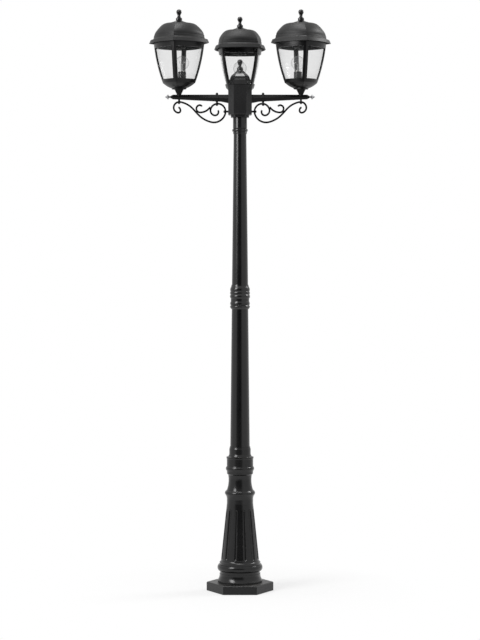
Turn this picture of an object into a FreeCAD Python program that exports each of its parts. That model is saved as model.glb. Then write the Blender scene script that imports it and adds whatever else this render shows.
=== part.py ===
import FreeCAD, Part
import math
import os

# Triple head lamp post: a turned and fluted cast post on a hexagonal foot plate, an eight-sided
# hub with three tapered hexagonal arms on scroll brackets, and a four-sided lantern on each arm.
# Millimetres, +Z up, origin at the centre of the foot plate's underside, blank hub face on -Y.

# ---- clearances ----
SLIDE_GAP = 0.3          # between pieces that slot into each other, on the radius
SEAT_GAP = 0.3           # under a lift-off piece, between its seat and what carries it
RUN_GAP = 0.08           # running fit of the lamp cap in its holder, on the radius

# ---- foot plate ----
PLATE_ACROSS_CORNERS = 268.0
PLATE_HEIGHT = 35.0
PLATE_WALL = 7.0
PLATE_CHAMFER = 2.5
CABLE_HOLE_R = 15.0
ANCHOR_COUNT = 4
ANCHOR_PCD = 116.0
ANCHOR_HOLE_R = 6.0
ANCHOR_BOSS_R = 15.0
CABLE_BOSS_R = 22.0

# ---- foot flange, pedestal and neck ----
FOOT_R = 90.0
FOOT_HEIGHT = 41.0
FOOT_TOP_R = 82.0
FOOT_WALL = 7.0
TORUS_R = 90.7
TORUS_HEIGHT = 30.0
PEDESTAL_LOW_R = 76.0
PEDESTAL_HIGH_R = 52.5
PEDESTAL_RUN = 252.0
PEDESTAL_WALL = 9.0
CROWN_R = 60.7
CROWN_HEIGHT = 38.0
FLUTE_COUNT = 12
FLUTE_LOW_R = 11.0
FLUTE_HIGH_R = 7.5
FLUTE_DEPTH = 4.5
FLUTE_MARGIN_LOW = 22.0
FLUTE_MARGIN_HIGH = 28.0
NECK_HEIGHT = 176.0
NECK_BORE_R = 36.0
COLUMN_SOCKET_DEPTH = 70.0

# ---- column ----
LOWER_COLUMN_LOW_R = 39.0
LOWER_COLUMN_HIGH_R = 33.0
LOWER_COLUMN_VISIBLE = 550.0
COLUMN_WALL = 4.0
MID_COLLAR_HEIGHT = 98.0
MID_COLLAR_R = 39.8
MID_COLLAR_SOCKET = 40.0
UPPER_COLUMN_LOW_R = 32.3
UPPER_COLUMN_HIGH_R = 25.4
UPPER_COLUMN_VISIBLE = 601.0
TOP_COLLAR_HEIGHT = 65.0
TOP_COLLAR_R = 28.0
TOP_RING_R = 31.2
TOP_SOCKET = 40.0
TOP_SPIGOT_R = 23.0
TOP_SPIGOT_UP = 12.0

# ---- hub ----
HUB_ACROSS = 94.0
HUB_FACE = 50.0
HUB_HEIGHT = 118.0
HUB_WALL = 5.0
HUB_PLINTH_ACROSS = 72.0
HUB_PLINTH_HEIGHT = 10.0
CAP_HEIGHT = 50.0
CAP_TOP_ACROSS = 41.0
CAP_STEP = 3.0
CAP_SKIRT = 8.0
HUB_SCREW_R = 3.0
HUB_SCREW_RISE = 0.8
CAP_SCREW_DROP = 13.0
CLAMP_SCREW_DROP = 42.5
TERMINAL_SIZE = (34.0, 20.0, 16.0)

# ---- arms ----
ARM_ROOT_DROP = 37.0     # arm's top face below the hub's rim
ARM_ROOT_HEIGHT = 33.0
ARM_MID_HEIGHT = 27.5
ARM_MID_REACH = 75.0
ARM_TIP_HEIGHT = 18.0
ARM_BEYOND = 25.0        # arm beyond the lantern's axis
ARM_NOSE = 11.0
ARM_NOSE_HEIGHT = 5.0
ARM_WALL = 3.0
ARM_PLATE = 5.0
LEAD_HOLE_R = 4.0
ARM_SCREW_R = 2.5
ARM_SCREW_HEAD_R = 4.5
ARM_SCREW_HEAD = 4.0
ARM_SCREW_SIDE = 11.0    # each screw's distance to the side of the arm's middle plane
SPEAR_LENGTH = 20.0
SPEAR_R = 10.8
SPEAR_NECK_R = 2.5
ARM_AZIMUTH = {"left": 180.0, "right": 0.0, "rear": 90.0}

# ---- arm collar, scroll and its studs ----
COLLAR_OUT = 45.0        # collar's middle from the hub's face, where the inner curl crests
COLLAR_WIDTH = 10.0
COLLAR_WALL = 2.5
COLLAR_KNOB_R = 4.8
BAR_THICK = 7.0
BAR_WIDTH = 10.0
STUD_SPACER_R = 4.0
STUD_SHANK_R = 2.5
STUD_NUT_R = 5.0
STUD_NUT_HEIGHT = 5.0
SCROLL_GAP = 7.2         # between the hub's face and the nearest point of the scroll
SCROLL_SPAN = 188.8      # from that point to the lantern's axis, as the arcs below are drawn
SCROLL_DROP = 50.0       # start of the scroll's outer curl below the arm's top face
# tangent arcs from the outer curl's eye to the inner curl's eye: (sweep in degrees, radius)
SCROLL_HEADING = -22.8
SCROLL_ARCS = [(-77.7, 13.0), (-90.0, 8.7), (-90.0, 20.5), (-90.0, 23.0), (-38.8, 91.5), (4.1, 403.4),
               (31.2, 106.3), (90.0, 46.8), (90.0, 31.5), (90.0, 29.4), (90.0, 19.8), (133.3, 13.7)]
CURL_BACK = 126.6        # start of the middle curl, back from the outer curl's start
CURL_RISE = 1.0
CURL_HEADING = -124.0
CURL_ARCS = [(-56.0, 48.5), (-90.0, 15.0), (-90.0, 14.0), (-70.0, 8.0)]

# ---- lantern, heights measured up from the arm's top face ----
LANTERN_REACH = 243.0
LANTERN_TURN = {"left": 215.0, "right": 145.0, "rear": 180.0}
PLAN_BULGE = 0.22        # how far each curved side stands out, as a share of half its width
SHELL_WALL = 3.5
STEM_LOW_R = 9.4
STEM_HIGH_R = 18.5
STEM_HEIGHT = 21.0
STEM_BORE_R = 6.8
SADDLE_DEPTH = 6.0
FLANGE_CORNER = 30.0
FLANGE_HEIGHT = 5.0
PAN_HEIGHT = 21.0
PAN_DRAIN_R = 7.2
PAN_FLOOR = 4.5
BODY_LOW_CORNER = 66.0
BODY_MID_CORNER = 89.6
BODY_HIGH_CORNER = 102.8
# the pan's half diagonals, each with its share of the pan's height
PAN_LEVELS = [(FLANGE_CORNER + 1, 0.0), (41.0, 0.19), (50.0, 0.43), (58.5, 0.71), (BODY_LOW_CORNER, 1.0)]
BODY_HEIGHT = 157.0
SILL_HEIGHT = 14.0
RAIL_HEIGHT = 19.0
POST_WIDTH = 13.0
PANE_WALL = 2.5
PANE_OVERLAP = 5.0
PANE_CORNER_GAP = 5.0

# ---- roof ----
LIP_CORNER = 122.0
LIP_EDGE = 2.0
LIP_SHOULDER_CORNER = 116.0
LIP_SHOULDER = 14.0
LIP_WALL = 3.5
LIP_HEIGHT = 17.0
SEAT_CORNER = 104.5
THROAT_CORNER = 96.0
BAND_CORNER = 102.5
BAND_HEIGHT = 14.0
DOME_HEIGHT = 50.0
# the dome's half diagonals, each with its share of the dome's height
DOME_LEVELS = [(101.0, 0.0), (99.5, 0.14), (95.3, 0.3), (89.0, 0.46), (79.5, 0.66), (67.0, 0.86),
               (54.0, 0.95), (30.0, 1.0)]
DOME_TOP_BULGE = 0.36
ROOF_WALL = 3.0
ROOF_HOLE_R = 4.0
FINIAL_FLANGE_R = 29.0
HUB_FINIAL_FLANGE_R = 21.4
FINIAL_COLLAR_R = 12.4
FINIAL_NECK_R = 5.8
FINIAL_BALL_R = 10.8
FINIAL_HEIGHT = 54.0
FINIAL_ROD_R = 3.9
SHIELD_R = 26.0
SHIELD_HEIGHT = 10.0
SHIELD_DROP = 14.0       # shield's rim below the roof's seat

# ---- lamp ----
HOLDER_OFFSET = 14.6     # lamp stands this far off the lantern's axis, towards the post
HOLDER_R = 16.0
HOLDER_TOP = 92.0
HOLDER_FOOT_R = 8.0
HOLDER_FOOT = 3.0
HOLDER_FLARE = 9.0
HOLDER_WELL = 30.0
LAMP_CAP_R = 13.1
LAMP_GLOBE_R = 28.0
LAMP_HEIGHT = 62.0
LAMP_NECK_R = 12.6
LAMP_GLASS = 0.9
LEAD_R = 2.5
LEAD_BEND_R = 16.0

Z = FreeCAD.Vector(0, 0, 1)
ORIGIN = FreeCAD.Vector(0, 0, 0)


def vec(x, y, z):
    return FreeCAD.Vector(x, y, z)


def save(shape, node):
    shape.exportStep("parts/" + node + ".step")
    box = shape.BoundBox
    print(node, shape.isValid(), len(shape.Solids), round(shape.Volume / 1000.0, 2),
          [round(v, 1) for v in (box.XMin, box.YMin, box.ZMin, box.XMax, box.YMax, box.ZMax)])


def group(solids):
    return Part.makeCompound(solids)


def one(shape):
    """The single solid of a boolean result, with its split faces merged."""
    clean = shape.removeSplitter()
    return clean.Solids[0] if len(clean.Solids) == 1 else clean


def turned(outline):
    """Solid of revolution about Z. A point is (r, z), or (mid r, mid z, r, z) for an arc."""
    edges = []
    last = vec(outline[0][0], 0, outline[0][1])
    for point in outline[1:] + outline[:1]:
        if len(point) == 4:
            middle = vec(point[0], 0, point[1])
            end = vec(point[2], 0, point[3])
            edges.append(Part.Arc(last, middle, end).toShape())
        else:
            end = vec(point[0], 0, point[1])
            if end.distanceToPoint(last) < 1e-6:
                continue
            edges.append(Part.LineSegment(last, end).toShape())
        last = end
    return Part.Face(Part.Wire(edges)).revolve(ORIGIN, Z, 360).Solids[0]


def rod(x, y, z, radius, length):
    return Part.makeCylinder(radius, length, vec(x, y, z))


def polar(radius, degrees, z):
    return vec(radius * math.cos(math.radians(degrees)), radius * math.sin(math.radians(degrees)), z)


def closed(points):
    return Part.makePolygon(points + points[:1])


def prism(points, height):
    return Part.Face(closed(points)).extrude(vec(0, 0, height))


def hexagon(corner, z):
    return [polar(corner, 60 * i, z) for i in range(6)]


def octagon(across, face, z):
    half = across / 2
    side = face / 2
    return [vec(half, -side, z), vec(half, side, z), vec(side, half, z), vec(-side, half, z),
            vec(-half, side, z), vec(-half, -side, z), vec(-side, -half, z), vec(side, -half, z)]


def hub_plan(across, z):
    """The hub's eight-sided outline, with four broad faces and four narrower corner faces."""
    return octagon(across, HUB_FACE * across / HUB_ACROSS, z)


# ---------------------------------------------------------------- post
PEDESTAL_Z = PLATE_HEIGHT + FOOT_HEIGHT
NECK_Z = PEDESTAL_Z + TORUS_HEIGHT + 8 + PEDESTAL_RUN + CROWN_HEIGHT
NECK_TOP = NECK_Z + NECK_HEIGHT
MID_Z = NECK_TOP + LOWER_COLUMN_VISIBLE
UPPER_Z = MID_Z + MID_COLLAR_HEIGHT
TOP_Z = UPPER_Z + UPPER_COLUMN_VISIBLE
HUB_Z = TOP_Z + TOP_COLLAR_HEIGHT + HUB_PLINTH_HEIGHT
HUB_TOP = HUB_Z + HUB_HEIGHT
ARM_TOP = HUB_TOP - ARM_ROOT_DROP
ARM_SCREW_Z = ARM_TOP - ARM_ROOT_HEIGHT / 2
LEAD_Z = ARM_TOP - ARM_TIP_HEIGHT + ARM_WALL + LEAD_R
ARM_REACH = LANTERN_REACH + ARM_BEYOND
SCROLL_SCALE = (LANTERN_REACH - HUB_ACROSS / 2 - SCROLL_GAP) / SCROLL_SPAN
COLLAR_REACH = HUB_ACROSS / 2 + COLLAR_OUT * SCROLL_SCALE


def base_plate():
    corner = PLATE_ACROSS_CORNERS / 2
    plate = prism(hexagon(corner, 0), PLATE_HEIGHT)
    rim = [edge for edge in plate.Edges
           if min(edge.Vertexes[0].Z, edge.Vertexes[1].Z) > PLATE_HEIGHT - 0.01]
    plate = plate.makeChamfer(PLATE_CHAMFER, rim)
    hollow = prism(hexagon(corner - PLATE_WALL / math.cos(math.radians(30)), 0), PLATE_HEIGHT - PLATE_WALL)
    for i in range(ANCHOR_COUNT):
        at = polar(ANCHOR_PCD / 2, 360.0 * i / ANCHOR_COUNT + 45, 0)
        hollow = hollow.cut(rod(at.x, at.y, 0, ANCHOR_BOSS_R, PLATE_HEIGHT))
    hollow = hollow.cut(rod(0, 0, 0, CABLE_BOSS_R, PLATE_HEIGHT))
    for i in range(6):
        rib = Part.makeBox(corner - CABLE_BOSS_R, PLATE_WALL, PLATE_HEIGHT,
                           vec(CABLE_BOSS_R - 2, -PLATE_WALL / 2, 0))
        rib.rotate(ORIGIN, Z, 60 * i)
        hollow = hollow.cut(rib)
    plate = plate.cut(hollow)
    for i in range(ANCHOR_COUNT):
        at = polar(ANCHOR_PCD / 2, 360.0 * i / ANCHOR_COUNT + 45, 0)
        plate = plate.cut(rod(at.x, at.y, -1, ANCHOR_HOLE_R, PLATE_HEIGHT + 2))
    return one(plate.cut(rod(0, 0, -1, CABLE_HOLE_R, PLATE_HEIGHT + 2)))


def foot_flange():
    low = PLATE_HEIGHT
    top = PEDESTAL_Z
    inner = FOOT_TOP_R - FOOT_WALL
    return turned([(inner, low), (FOOT_R, low), (FOOT_R, low + 8),
                   (FOOT_TOP_R + 1.8, low + 20, FOOT_TOP_R, top - 6), (FOOT_TOP_R - 2, top - 6),
                   (FOOT_TOP_R - 2, top), (inner, top)])


def flute(index):
    """One round-ended, tapering groove laid along the pedestal's slope."""
    low_z = PEDESTAL_Z + TORUS_HEIGHT + 8 + FLUTE_MARGIN_LOW
    high_z = PEDESTAL_Z + TORUS_HEIGHT + 8 + PEDESTAL_RUN - 14 - FLUTE_MARGIN_HIGH
    slope = (PEDESTAL_LOW_R - PEDESTAL_HIGH_R) / (PEDESTAL_RUN - 28)
    wall_low = PEDESTAL_LOW_R - slope * (low_z - PEDESTAL_Z - TORUS_HEIGHT - 22)
    wall_high = PEDESTAL_LOW_R - slope * (high_z - PEDESTAL_Z - TORUS_HEIGHT - 22)
    low = vec(wall_low + FLUTE_LOW_R - FLUTE_DEPTH, 0, low_z)
    high = vec(wall_high + FLUTE_HIGH_R - FLUTE_DEPTH, 0, high_z)
    axis = high.sub(low)
    groove = Part.makeCone(FLUTE_LOW_R, FLUTE_HIGH_R, axis.Length, low, axis)
    groove = groove.fuse([Part.makeSphere(FLUTE_LOW_R, low), Part.makeSphere(FLUTE_HIGH_R, high)])
    groove.rotate(ORIGIN, Z, 360.0 * (index + 0.5) / FLUTE_COUNT)
    return groove


def pedestal():
    low = PEDESTAL_Z
    rise = low + TORUS_HEIGHT
    run = rise + 8
    top = run + PEDESTAL_RUN
    bore_low = PEDESTAL_LOW_R - PEDESTAL_WALL
    bore_high = PEDESTAL_HIGH_R - PEDESTAL_WALL
    body = turned([(bore_low, low), (FOOT_TOP_R - 2, low), (FOOT_TOP_R - 2, low + 4),
                   (FOOT_TOP_R + 4, low + 6),
                   (TORUS_R, low + 6 + (TORUS_HEIGHT - 6) / 2, FOOT_TOP_R + 4, rise),
                   (FOOT_TOP_R, rise), (FOOT_TOP_R, run + 2),
                   (PEDESTAL_LOW_R + 1.8, run + 6, PEDESTAL_LOW_R, run + 14),
                   (PEDESTAL_HIGH_R, top - 14), (PEDESTAL_HIGH_R, top),
                   (PEDESTAL_HIGH_R + 1.6, top + 12, PEDESTAL_HIGH_R + 5.5, top + 20),
                   (CROWN_R, top + 28, PEDESTAL_HIGH_R + 3.5, top + 36),
                   (PEDESTAL_HIGH_R + 2, top + CROWN_HEIGHT), (bore_high, top + CROWN_HEIGHT),
                   (bore_high, top - 14), (bore_low, run + 14)])
    return one(body.cut([flute(i) for i in range(FLUTE_COUNT)]))


def pedestal_neck():
    low = NECK_Z
    top = NECK_TOP
    ledge = top - COLUMN_SOCKET_DEPTH
    waist = PEDESTAL_HIGH_R - 6.8
    bead = PEDESTAL_HIGH_R + 3
    band = PEDESTAL_HIGH_R + 0.3
    ring = LOWER_COLUMN_LOW_R + 4
    socket = LOWER_COLUMN_LOW_R + SLIDE_GAP
    return turned([(NECK_BORE_R, low), (PEDESTAL_HIGH_R + 0.5, low),
                   (waist + 1.6, low + 22, waist, low + 42), (waist + 0.7, low + 54, waist + 2, low + 62),
                   (band - 0.8, low + 66), (band, low + 76), (bead - 0.6, low + 81),
                   (bead + 1.4, low + 88, bead - 1.8, low + 95), (band, low + 98), (band, low + 126),
                   (bead - 1, low + 129), (bead - 1, low + 134), (ring + 3.5, low + 137),
                   (ring, low + 145), (ring, low + 166), (ring - 1.6, low + 171), (ring - 2.6, top),
                   (socket, top), (socket, ledge), (NECK_BORE_R, ledge)])


def lower_column():
    low = NECK_TOP - COLUMN_SOCKET_DEPTH
    top = MID_Z + MID_COLLAR_SOCKET
    foot = LOWER_COLUMN_LOW_R
    head = LOWER_COLUMN_HIGH_R
    wall = COLUMN_WALL
    return turned([(foot - wall, low), (foot, low), (foot, NECK_TOP), (head, MID_Z), (head, top),
                   (head - wall, top), (head - wall, MID_Z), (foot - wall, NECK_TOP)])


def mid_collar():
    low = MID_Z
    top = UPPER_Z
    big = MID_COLLAR_R
    lower = LOWER_COLUMN_HIGH_R + SLIDE_GAP
    upper = UPPER_COLUMN_LOW_R + SLIDE_GAP
    ledge = low + MID_COLLAR_SOCKET
    seat = top - MID_COLLAR_SOCKET
    bore = UPPER_COLUMN_LOW_R - COLUMN_WALL
    return turned([(lower, low), (lower + 1.5, low), (big - 1.6, low + 5),
                   (big, low + 9.5, big - 1.6, low + 14),
                   (big - 3, low + 16), (big - 1.2, low + 18), (big - 0.4, low + 22.5, big - 1.2, low + 27),
                   (big - 2.8, low + 31), (big - 2.8, low + 42), (big - 0.8, low + 46),
                   (big + 0.4, low + 51, big - 0.8, low + 56), (big - 2, low + 58), (big - 1, low + 60),
                   (big, low + 64.5, big - 1, low + 69), (big - 2, low + 71), (big - 1.2, low + 73),
                   (big - 0.4, low + 79, big - 1.8, low + 85), (upper + 2.2, low + 92), (upper + 1.2, top),
                   (upper, top), (upper, seat), (bore, seat), (bore, ledge), (lower, ledge)])


def upper_column():
    low = UPPER_Z - MID_COLLAR_SOCKET
    top = TOP_Z + TOP_SOCKET
    foot = UPPER_COLUMN_LOW_R
    head = UPPER_COLUMN_HIGH_R
    spigot = TOP_COLLAR_R - COLUMN_WALL - SLIDE_GAP
    wall = COLUMN_WALL
    return turned([(foot - wall, low), (foot, low), (foot, UPPER_Z), (head, TOP_Z), (spigot, TOP_Z),
                   (spigot, top), (spigot - wall, top), (spigot - wall, TOP_Z), (foot - wall, UPPER_Z)])


def top_collar():
    low = TOP_Z
    top = TOP_Z + TOP_COLLAR_HEIGHT
    socket = TOP_COLLAR_R - COLUMN_WALL
    ledge = low + TOP_SOCKET
    bore = TOP_SPIGOT_R - COLUMN_WALL
    return turned([(socket, low), (TOP_COLLAR_R - 1.5, low), (TOP_COLLAR_R - 0.6, low + 1.5),
                   (TOP_COLLAR_R, low + 4.5, TOP_COLLAR_R - 0.8, low + 8.5), (TOP_RING_R - 1.2, low + 10),
                   (TOP_RING_R, low + 14.5, TOP_RING_R - 1.2, low + 19), (TOP_COLLAR_R - 1.2, low + 20.5),
                   (TOP_COLLAR_R, low + 23), (TOP_COLLAR_R, top), (TOP_SPIGOT_R, top),
                   (TOP_SPIGOT_R, top + TOP_SPIGOT_UP), (bore, top + TOP_SPIGOT_UP), (bore, ledge),
                   (socket, ledge)])


def hub():
    plinth_z = HUB_Z - HUB_PLINTH_HEIGHT
    body = prism(hub_plan(HUB_ACROSS, HUB_Z), HUB_HEIGHT)
    foot = [edge for edge in body.Edges
            if max(edge.Vertexes[0].Z, edge.Vertexes[1].Z) < HUB_Z + 0.01]
    body = body.makeChamfer(HUB_WALL / 2, foot)
    body = body.fuse(prism(hub_plan(HUB_PLINTH_ACROSS, plinth_z), HUB_PLINTH_HEIGHT))
    inside = prism(hub_plan(HUB_ACROSS - 2 * HUB_WALL, HUB_Z + HUB_WALL), HUB_HEIGHT)
    body = body.cut(inside)
    body = body.cut(rod(0, 0, plinth_z - 1, TOP_SPIGOT_R + SLIDE_GAP, HUB_PLINTH_HEIGHT + HUB_WALL + 2))
    for azimuth in ARM_AZIMUTH.values():
        holes = [across_wall(LEAD_HOLE_R, LEAD_Z), across_wall(STUD_SHANK_R, SCROLL_ROOT_Z)]
        holes += [across_wall(ARM_SCREW_R, ARM_SCREW_Z, side) for side in (-ARM_SCREW_SIDE, ARM_SCREW_SIDE)]
        for hole in holes:
            hole.rotate(ORIGIN, Z, azimuth)
        body = body.cut(holes)
    return one(body.cut(hub_screw_solids()))


def across_wall(radius, z, side=0.0):
    """Cutter along +X through the hub's wall and the arm's end plate."""
    inside = HUB_ACROSS / 2 - HUB_WALL
    start = vec(inside - ARM_PLATE / 2, side, z)
    return Part.makeCylinder(radius, HUB_WALL + 2 * ARM_PLATE, start, vec(1, 0, 0))


def arm_screws():
    """Two screws for each arm, through the hub's wall into the arm's end plate."""
    screws = []
    inside = HUB_ACROSS / 2 - HUB_WALL
    for azimuth in ARM_AZIMUTH.values():
        for side in (-ARM_SCREW_SIDE, ARM_SCREW_SIDE):
            seat = vec(inside, side, ARM_SCREW_Z)
            shank = Part.makeCylinder(ARM_SCREW_R, HUB_WALL + ARM_PLATE, seat, vec(1, 0, 0))
            head = Part.makeCylinder(ARM_SCREW_HEAD_R, ARM_SCREW_HEAD, seat, vec(-1, 0, 0))
            screw = one(shank.fuse(head))
            screw.rotate(ORIGIN, Z, azimuth)
            screws.append(screw)
    return group(screws)


def hub_screw_solids():
    """Round-headed screws on the four corner faces: the cap's upper row and a lower row."""
    corner_face = (HUB_ACROSS + HUB_FACE) / 2 / math.sqrt(2)
    screws = []
    for i in range(4):
        for drop in (CAP_SCREW_DROP, CLAMP_SCREW_DROP):
            start = vec(corner_face - HUB_WALL, 0, HUB_TOP - drop)
            shank = Part.makeCylinder(HUB_SCREW_R / 2, HUB_WALL, start, vec(1, 0, 0))
            head = Part.makeCone(HUB_SCREW_R, HUB_SCREW_R * 0.7, HUB_SCREW_RISE,
                                 vec(corner_face, 0, HUB_TOP - drop), vec(1, 0, 0))
            screw = one(shank.fuse(head))
            screw.rotate(ORIGIN, Z, 45 + 90 * i)
            screws.append(screw)
    return screws


def hub_cap():
    """Eight-sided stepped dome with a locating skirt that drops inside the hub."""
    z = HUB_TOP
    across = HUB_ACROSS
    levels = [(across, 0), (across, CAP_STEP), (across - 1, CAP_STEP + 1), (across - 2, CAP_STEP + 3),
              (across - 9, 19), (across - 12, 22.5), (across - 15, 23.5), (across - 17, 29),
              (across - 22, 34.5), (across - 30, 39.5), (across - 41, 45), (across - 47, 47.5),
              (CAP_TOP_ACROSS, CAP_HEIGHT)]
    solid = Part.makeLoft([closed(hub_plan(width, z + rise)) for width, rise in levels], True, True)
    skirt_across = HUB_ACROSS - 2 * HUB_WALL - 2 * SLIDE_GAP
    skirt = prism(hub_plan(skirt_across, z - CAP_SKIRT), CAP_SKIRT)
    inner = skirt_across - 2 * HUB_WALL
    hollow = [(inner, -CAP_SKIRT), (inner, 15), (inner - 14, 30),
              (CAP_TOP_ACROSS - 2 * HUB_WALL, CAP_HEIGHT - HUB_WALL)]
    cavity = Part.makeLoft([closed(hub_plan(width, z + rise)) for width, rise in hollow], True, True)
    hole = rod(0, 0, z, ROOF_HOLE_R, CAP_HEIGHT + 1)
    return one(solid.fuse(skirt).cut([cavity, hole]))


def finial(z, rod_length, flange):
    """Flanged bud finial with a threaded rod below its seat at z."""
    ball_z = z + FINIAL_HEIGHT - FINIAL_BALL_R
    foot = FINIAL_COLLAR_R + 1.6
    outline = [(0, z - rod_length), (FINIAL_ROD_R, z - rod_length), (FINIAL_ROD_R, z), (flange, z)]
    for radius, share in [(flange, 0.045), ((flange + foot) / 2 - 1.2, 0.095), (foot, 0.165),
                          (FINIAL_COLLAR_R - 0.8, 0.185), (FINIAL_COLLAR_R, 0.225), (FINIAL_COLLAR_R, 0.33),
                          (FINIAL_NECK_R + 2.4, 0.4), (FINIAL_NECK_R, 0.5), (FINIAL_NECK_R + 0.5, 0.6)]:
        outline.append((radius, z + FINIAL_HEIGHT * share))
    for mid_r, mid_rise, radius, rise in [(0.88, -0.5, 1.0, 0.0), (0.84, 0.54, 0.36, 0.93)]:
        outline.append((FINIAL_BALL_R * mid_r, ball_z + FINIAL_BALL_R * mid_rise,
                        FINIAL_BALL_R * radius, ball_z + FINIAL_BALL_R * rise))
    outline.append((0, z + FINIAL_HEIGHT))
    return turned(outline)


def terminal_block():
    """Screw terminal block standing on the hub's floor, beside the cable hole."""
    length, depth, height = TERMINAL_SIZE
    floor = HUB_Z + HUB_WALL
    block = Part.makeBox(length, depth, height,
                         vec(-length / 2, -HUB_ACROSS / 2 + HUB_WALL + 1, floor + TOP_SPIGOT_UP))
    foot = Part.makeBox(length, 4, TOP_SPIGOT_UP, vec(-length / 2, -HUB_ACROSS / 2 + HUB_WALL + 1, floor))
    body = block.fuse(foot)
    ways = 3
    pitch = length / ways
    for i in range(ways):
        x = -length / 2 + pitch * (i + 0.5)
        y = -HUB_ACROSS / 2 + HUB_WALL + 1 + depth / 2
        body = body.cut(rod(x, y, floor + TOP_SPIGOT_UP + height - 5, 3.5, 6))
        mouth = vec(x, y + depth / 2 - 8, floor + TOP_SPIGOT_UP + height / 3)
        entry = Part.makeCylinder(2.5, 9, mouth, vec(0, 1, 0))
        body = body.cut(entry)
    return one(body)


# ---------------------------------------------------------------- arms (built along +X)
def arm_height(reach):
    """Height of the arm's hexagon, face to face, at a distance from the post's axis."""
    root = HUB_ACROSS / 2
    if reach < ARM_MID_REACH:
        share = (reach - root) / (ARM_MID_REACH - root)
        return ARM_ROOT_HEIGHT + (ARM_MID_HEIGHT - ARM_ROOT_HEIGHT) * share
    share = (reach - ARM_MID_REACH) / (ARM_REACH - ARM_MID_REACH)
    return ARM_MID_HEIGHT + (ARM_TIP_HEIGHT - ARM_MID_HEIGHT) * share


def arm_section(reach, height, grow=0.0):
    """Hexagon with flats on top and below; the top flat stays level along the arm."""
    middle = ARM_TOP - arm_height(reach) / 2 if reach <= ARM_REACH else ARM_TOP - ARM_TIP_HEIGHT / 2
    corner = (height / 2 + grow) / math.cos(math.radians(30))
    points = []
    for i in range(6):
        angle = math.radians(60 * i)
        points.append(vec(reach, corner * math.cos(angle), middle + corner * math.sin(angle)))
    return closed(points)


def arm_skin(grow, first, last):
    stations = [first] + [s for s in (ARM_MID_REACH, ARM_REACH) if first < s < last] + [last]
    return Part.makeLoft([arm_section(s, arm_height(s), grow) for s in stations], True, True)


def arm():
    root = HUB_ACROSS / 2
    tip = ARM_REACH + ARM_NOSE
    body = arm_skin(0.0, root, ARM_REACH)
    nose = Part.makeLoft([arm_section(ARM_REACH, ARM_TIP_HEIGHT),
                          arm_section(tip, ARM_NOSE_HEIGHT)], True, True)
    hollow = arm_skin(-ARM_WALL, root + ARM_PLATE, ARM_REACH - ARM_WALL)
    holes = [across_wall(LEAD_HOLE_R, LEAD_Z)]
    holes += [across_wall(ARM_SCREW_R, ARM_SCREW_Z, side) for side in (-ARM_SCREW_SIDE, ARM_SCREW_SIDE)]
    tip_middle = ARM_TOP - ARM_TIP_HEIGHT / 2
    spear_root = vec(tip - ARM_NOSE / 2, 0, tip_middle)
    spear_hole = Part.makeCylinder(SPEAR_NECK_R, ARM_NOSE, spear_root, vec(1, 0, 0))
    stem_hole = rod(LANTERN_REACH, 0, ARM_TOP - ARM_WALL * 2.5, STEM_BORE_R, ARM_WALL * 4)
    return one(body.fuse(nose).cut([hollow, spear_hole, stem_hole] + holes))


def arm_spear():
    tip = ARM_REACH + ARM_NOSE
    spear = turned([(0, -ARM_NOSE / 2), (SPEAR_NECK_R, -ARM_NOSE / 2), (SPEAR_NECK_R, 1.5),
                    (SPEAR_NECK_R + 2, 2.5),
                    (SPEAR_NECK_R + 2, 4), (SPEAR_R * 0.4, 5), (SPEAR_R, 7.5),
                    (SPEAR_R * 0.5, 12.5), (0.8, SPEAR_LENGTH), (0, SPEAR_LENGTH)])
    spear.rotate(ORIGIN, vec(0, 1, 0), 90)
    spear.translate(vec(tip, 0, ARM_TOP - ARM_TIP_HEIGHT / 2))
    return spear


def arm_collar():
    """Hexagonal band round the arm, with the screw's domed head on top."""
    first = COLLAR_REACH - COLLAR_WIDTH / 2
    last = COLLAR_REACH + COLLAR_WIDTH / 2
    band = arm_skin(COLLAR_WALL, first, last).cut(arm_skin(0.0, first - 5, last + 5))
    head = turned([(0, 0), (COLLAR_KNOB_R, 0), (COLLAR_KNOB_R, 2),
                   (COLLAR_KNOB_R * 0.85, 4.4, 1.2, 6), (0, 6)])
    head.translate(vec(COLLAR_REACH, 0, ARM_TOP + COLLAR_WALL - 0.2))
    return one(band.fuse(head))


def bar(back, drop, heading, arcs):
    """Flat bar bent along tangent arcs in the arm's plane; it starts drop below the arm's top."""
    x, z, turn = back * SCROLL_SCALE, ARM_TOP - drop * SCROLL_SCALE, math.radians(heading)
    half = BAR_THICK / 2
    left, right = [], []
    for sweep, radius in arcs:
        sweep = math.radians(sweep)
        radius *= SCROLL_SCALE
        side = 1 if sweep > 0 else -1
        cx = x - math.sin(turn) * radius * side
        cz = z + math.cos(turn) * radius * side
        for rail, offset in ((left, -side * half), (right, side * half)):
            points = []
            for share in (0, 0.5, 1):
                angle = math.atan2(z - cz, x - cx) + sweep * share
                points.append(vec(-cx - (radius + offset) * math.cos(angle), -BAR_WIDTH / 2,
                                  cz + (radius + offset) * math.sin(angle)))
            rail.append(points)
        angle = math.atan2(z - cz, x - cx) + sweep
        x = cx + radius * math.cos(angle)
        z = cz + radius * math.sin(angle)
        turn += sweep
    edges = [Part.Arc(*points).toShape() for points in left]
    edges.append(Part.LineSegment(left[-1][2], right[-1][2]).toShape())
    edges += [Part.Arc(*reversed(points)).toShape() for points in reversed(right)]
    edges.append(Part.LineSegment(right[0][0], left[0][0]).toShape())
    return Part.Face(Part.Wire(edges)).extrude(vec(0, BAR_WIDTH, 0))


def bar_span(solid, reach):
    """Lowest and highest z of the uppermost bar crossing at a reach."""
    probe = Part.makeLine(vec(reach, 0, solid.BoundBox.ZMin - 1), vec(reach, 0, ARM_TOP))
    cut = solid.common(probe)
    top = max(cut.Edges, key=lambda edge: edge.BoundBox.ZMax)
    return top.BoundBox.ZMin, top.BoundBox.ZMax


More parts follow.
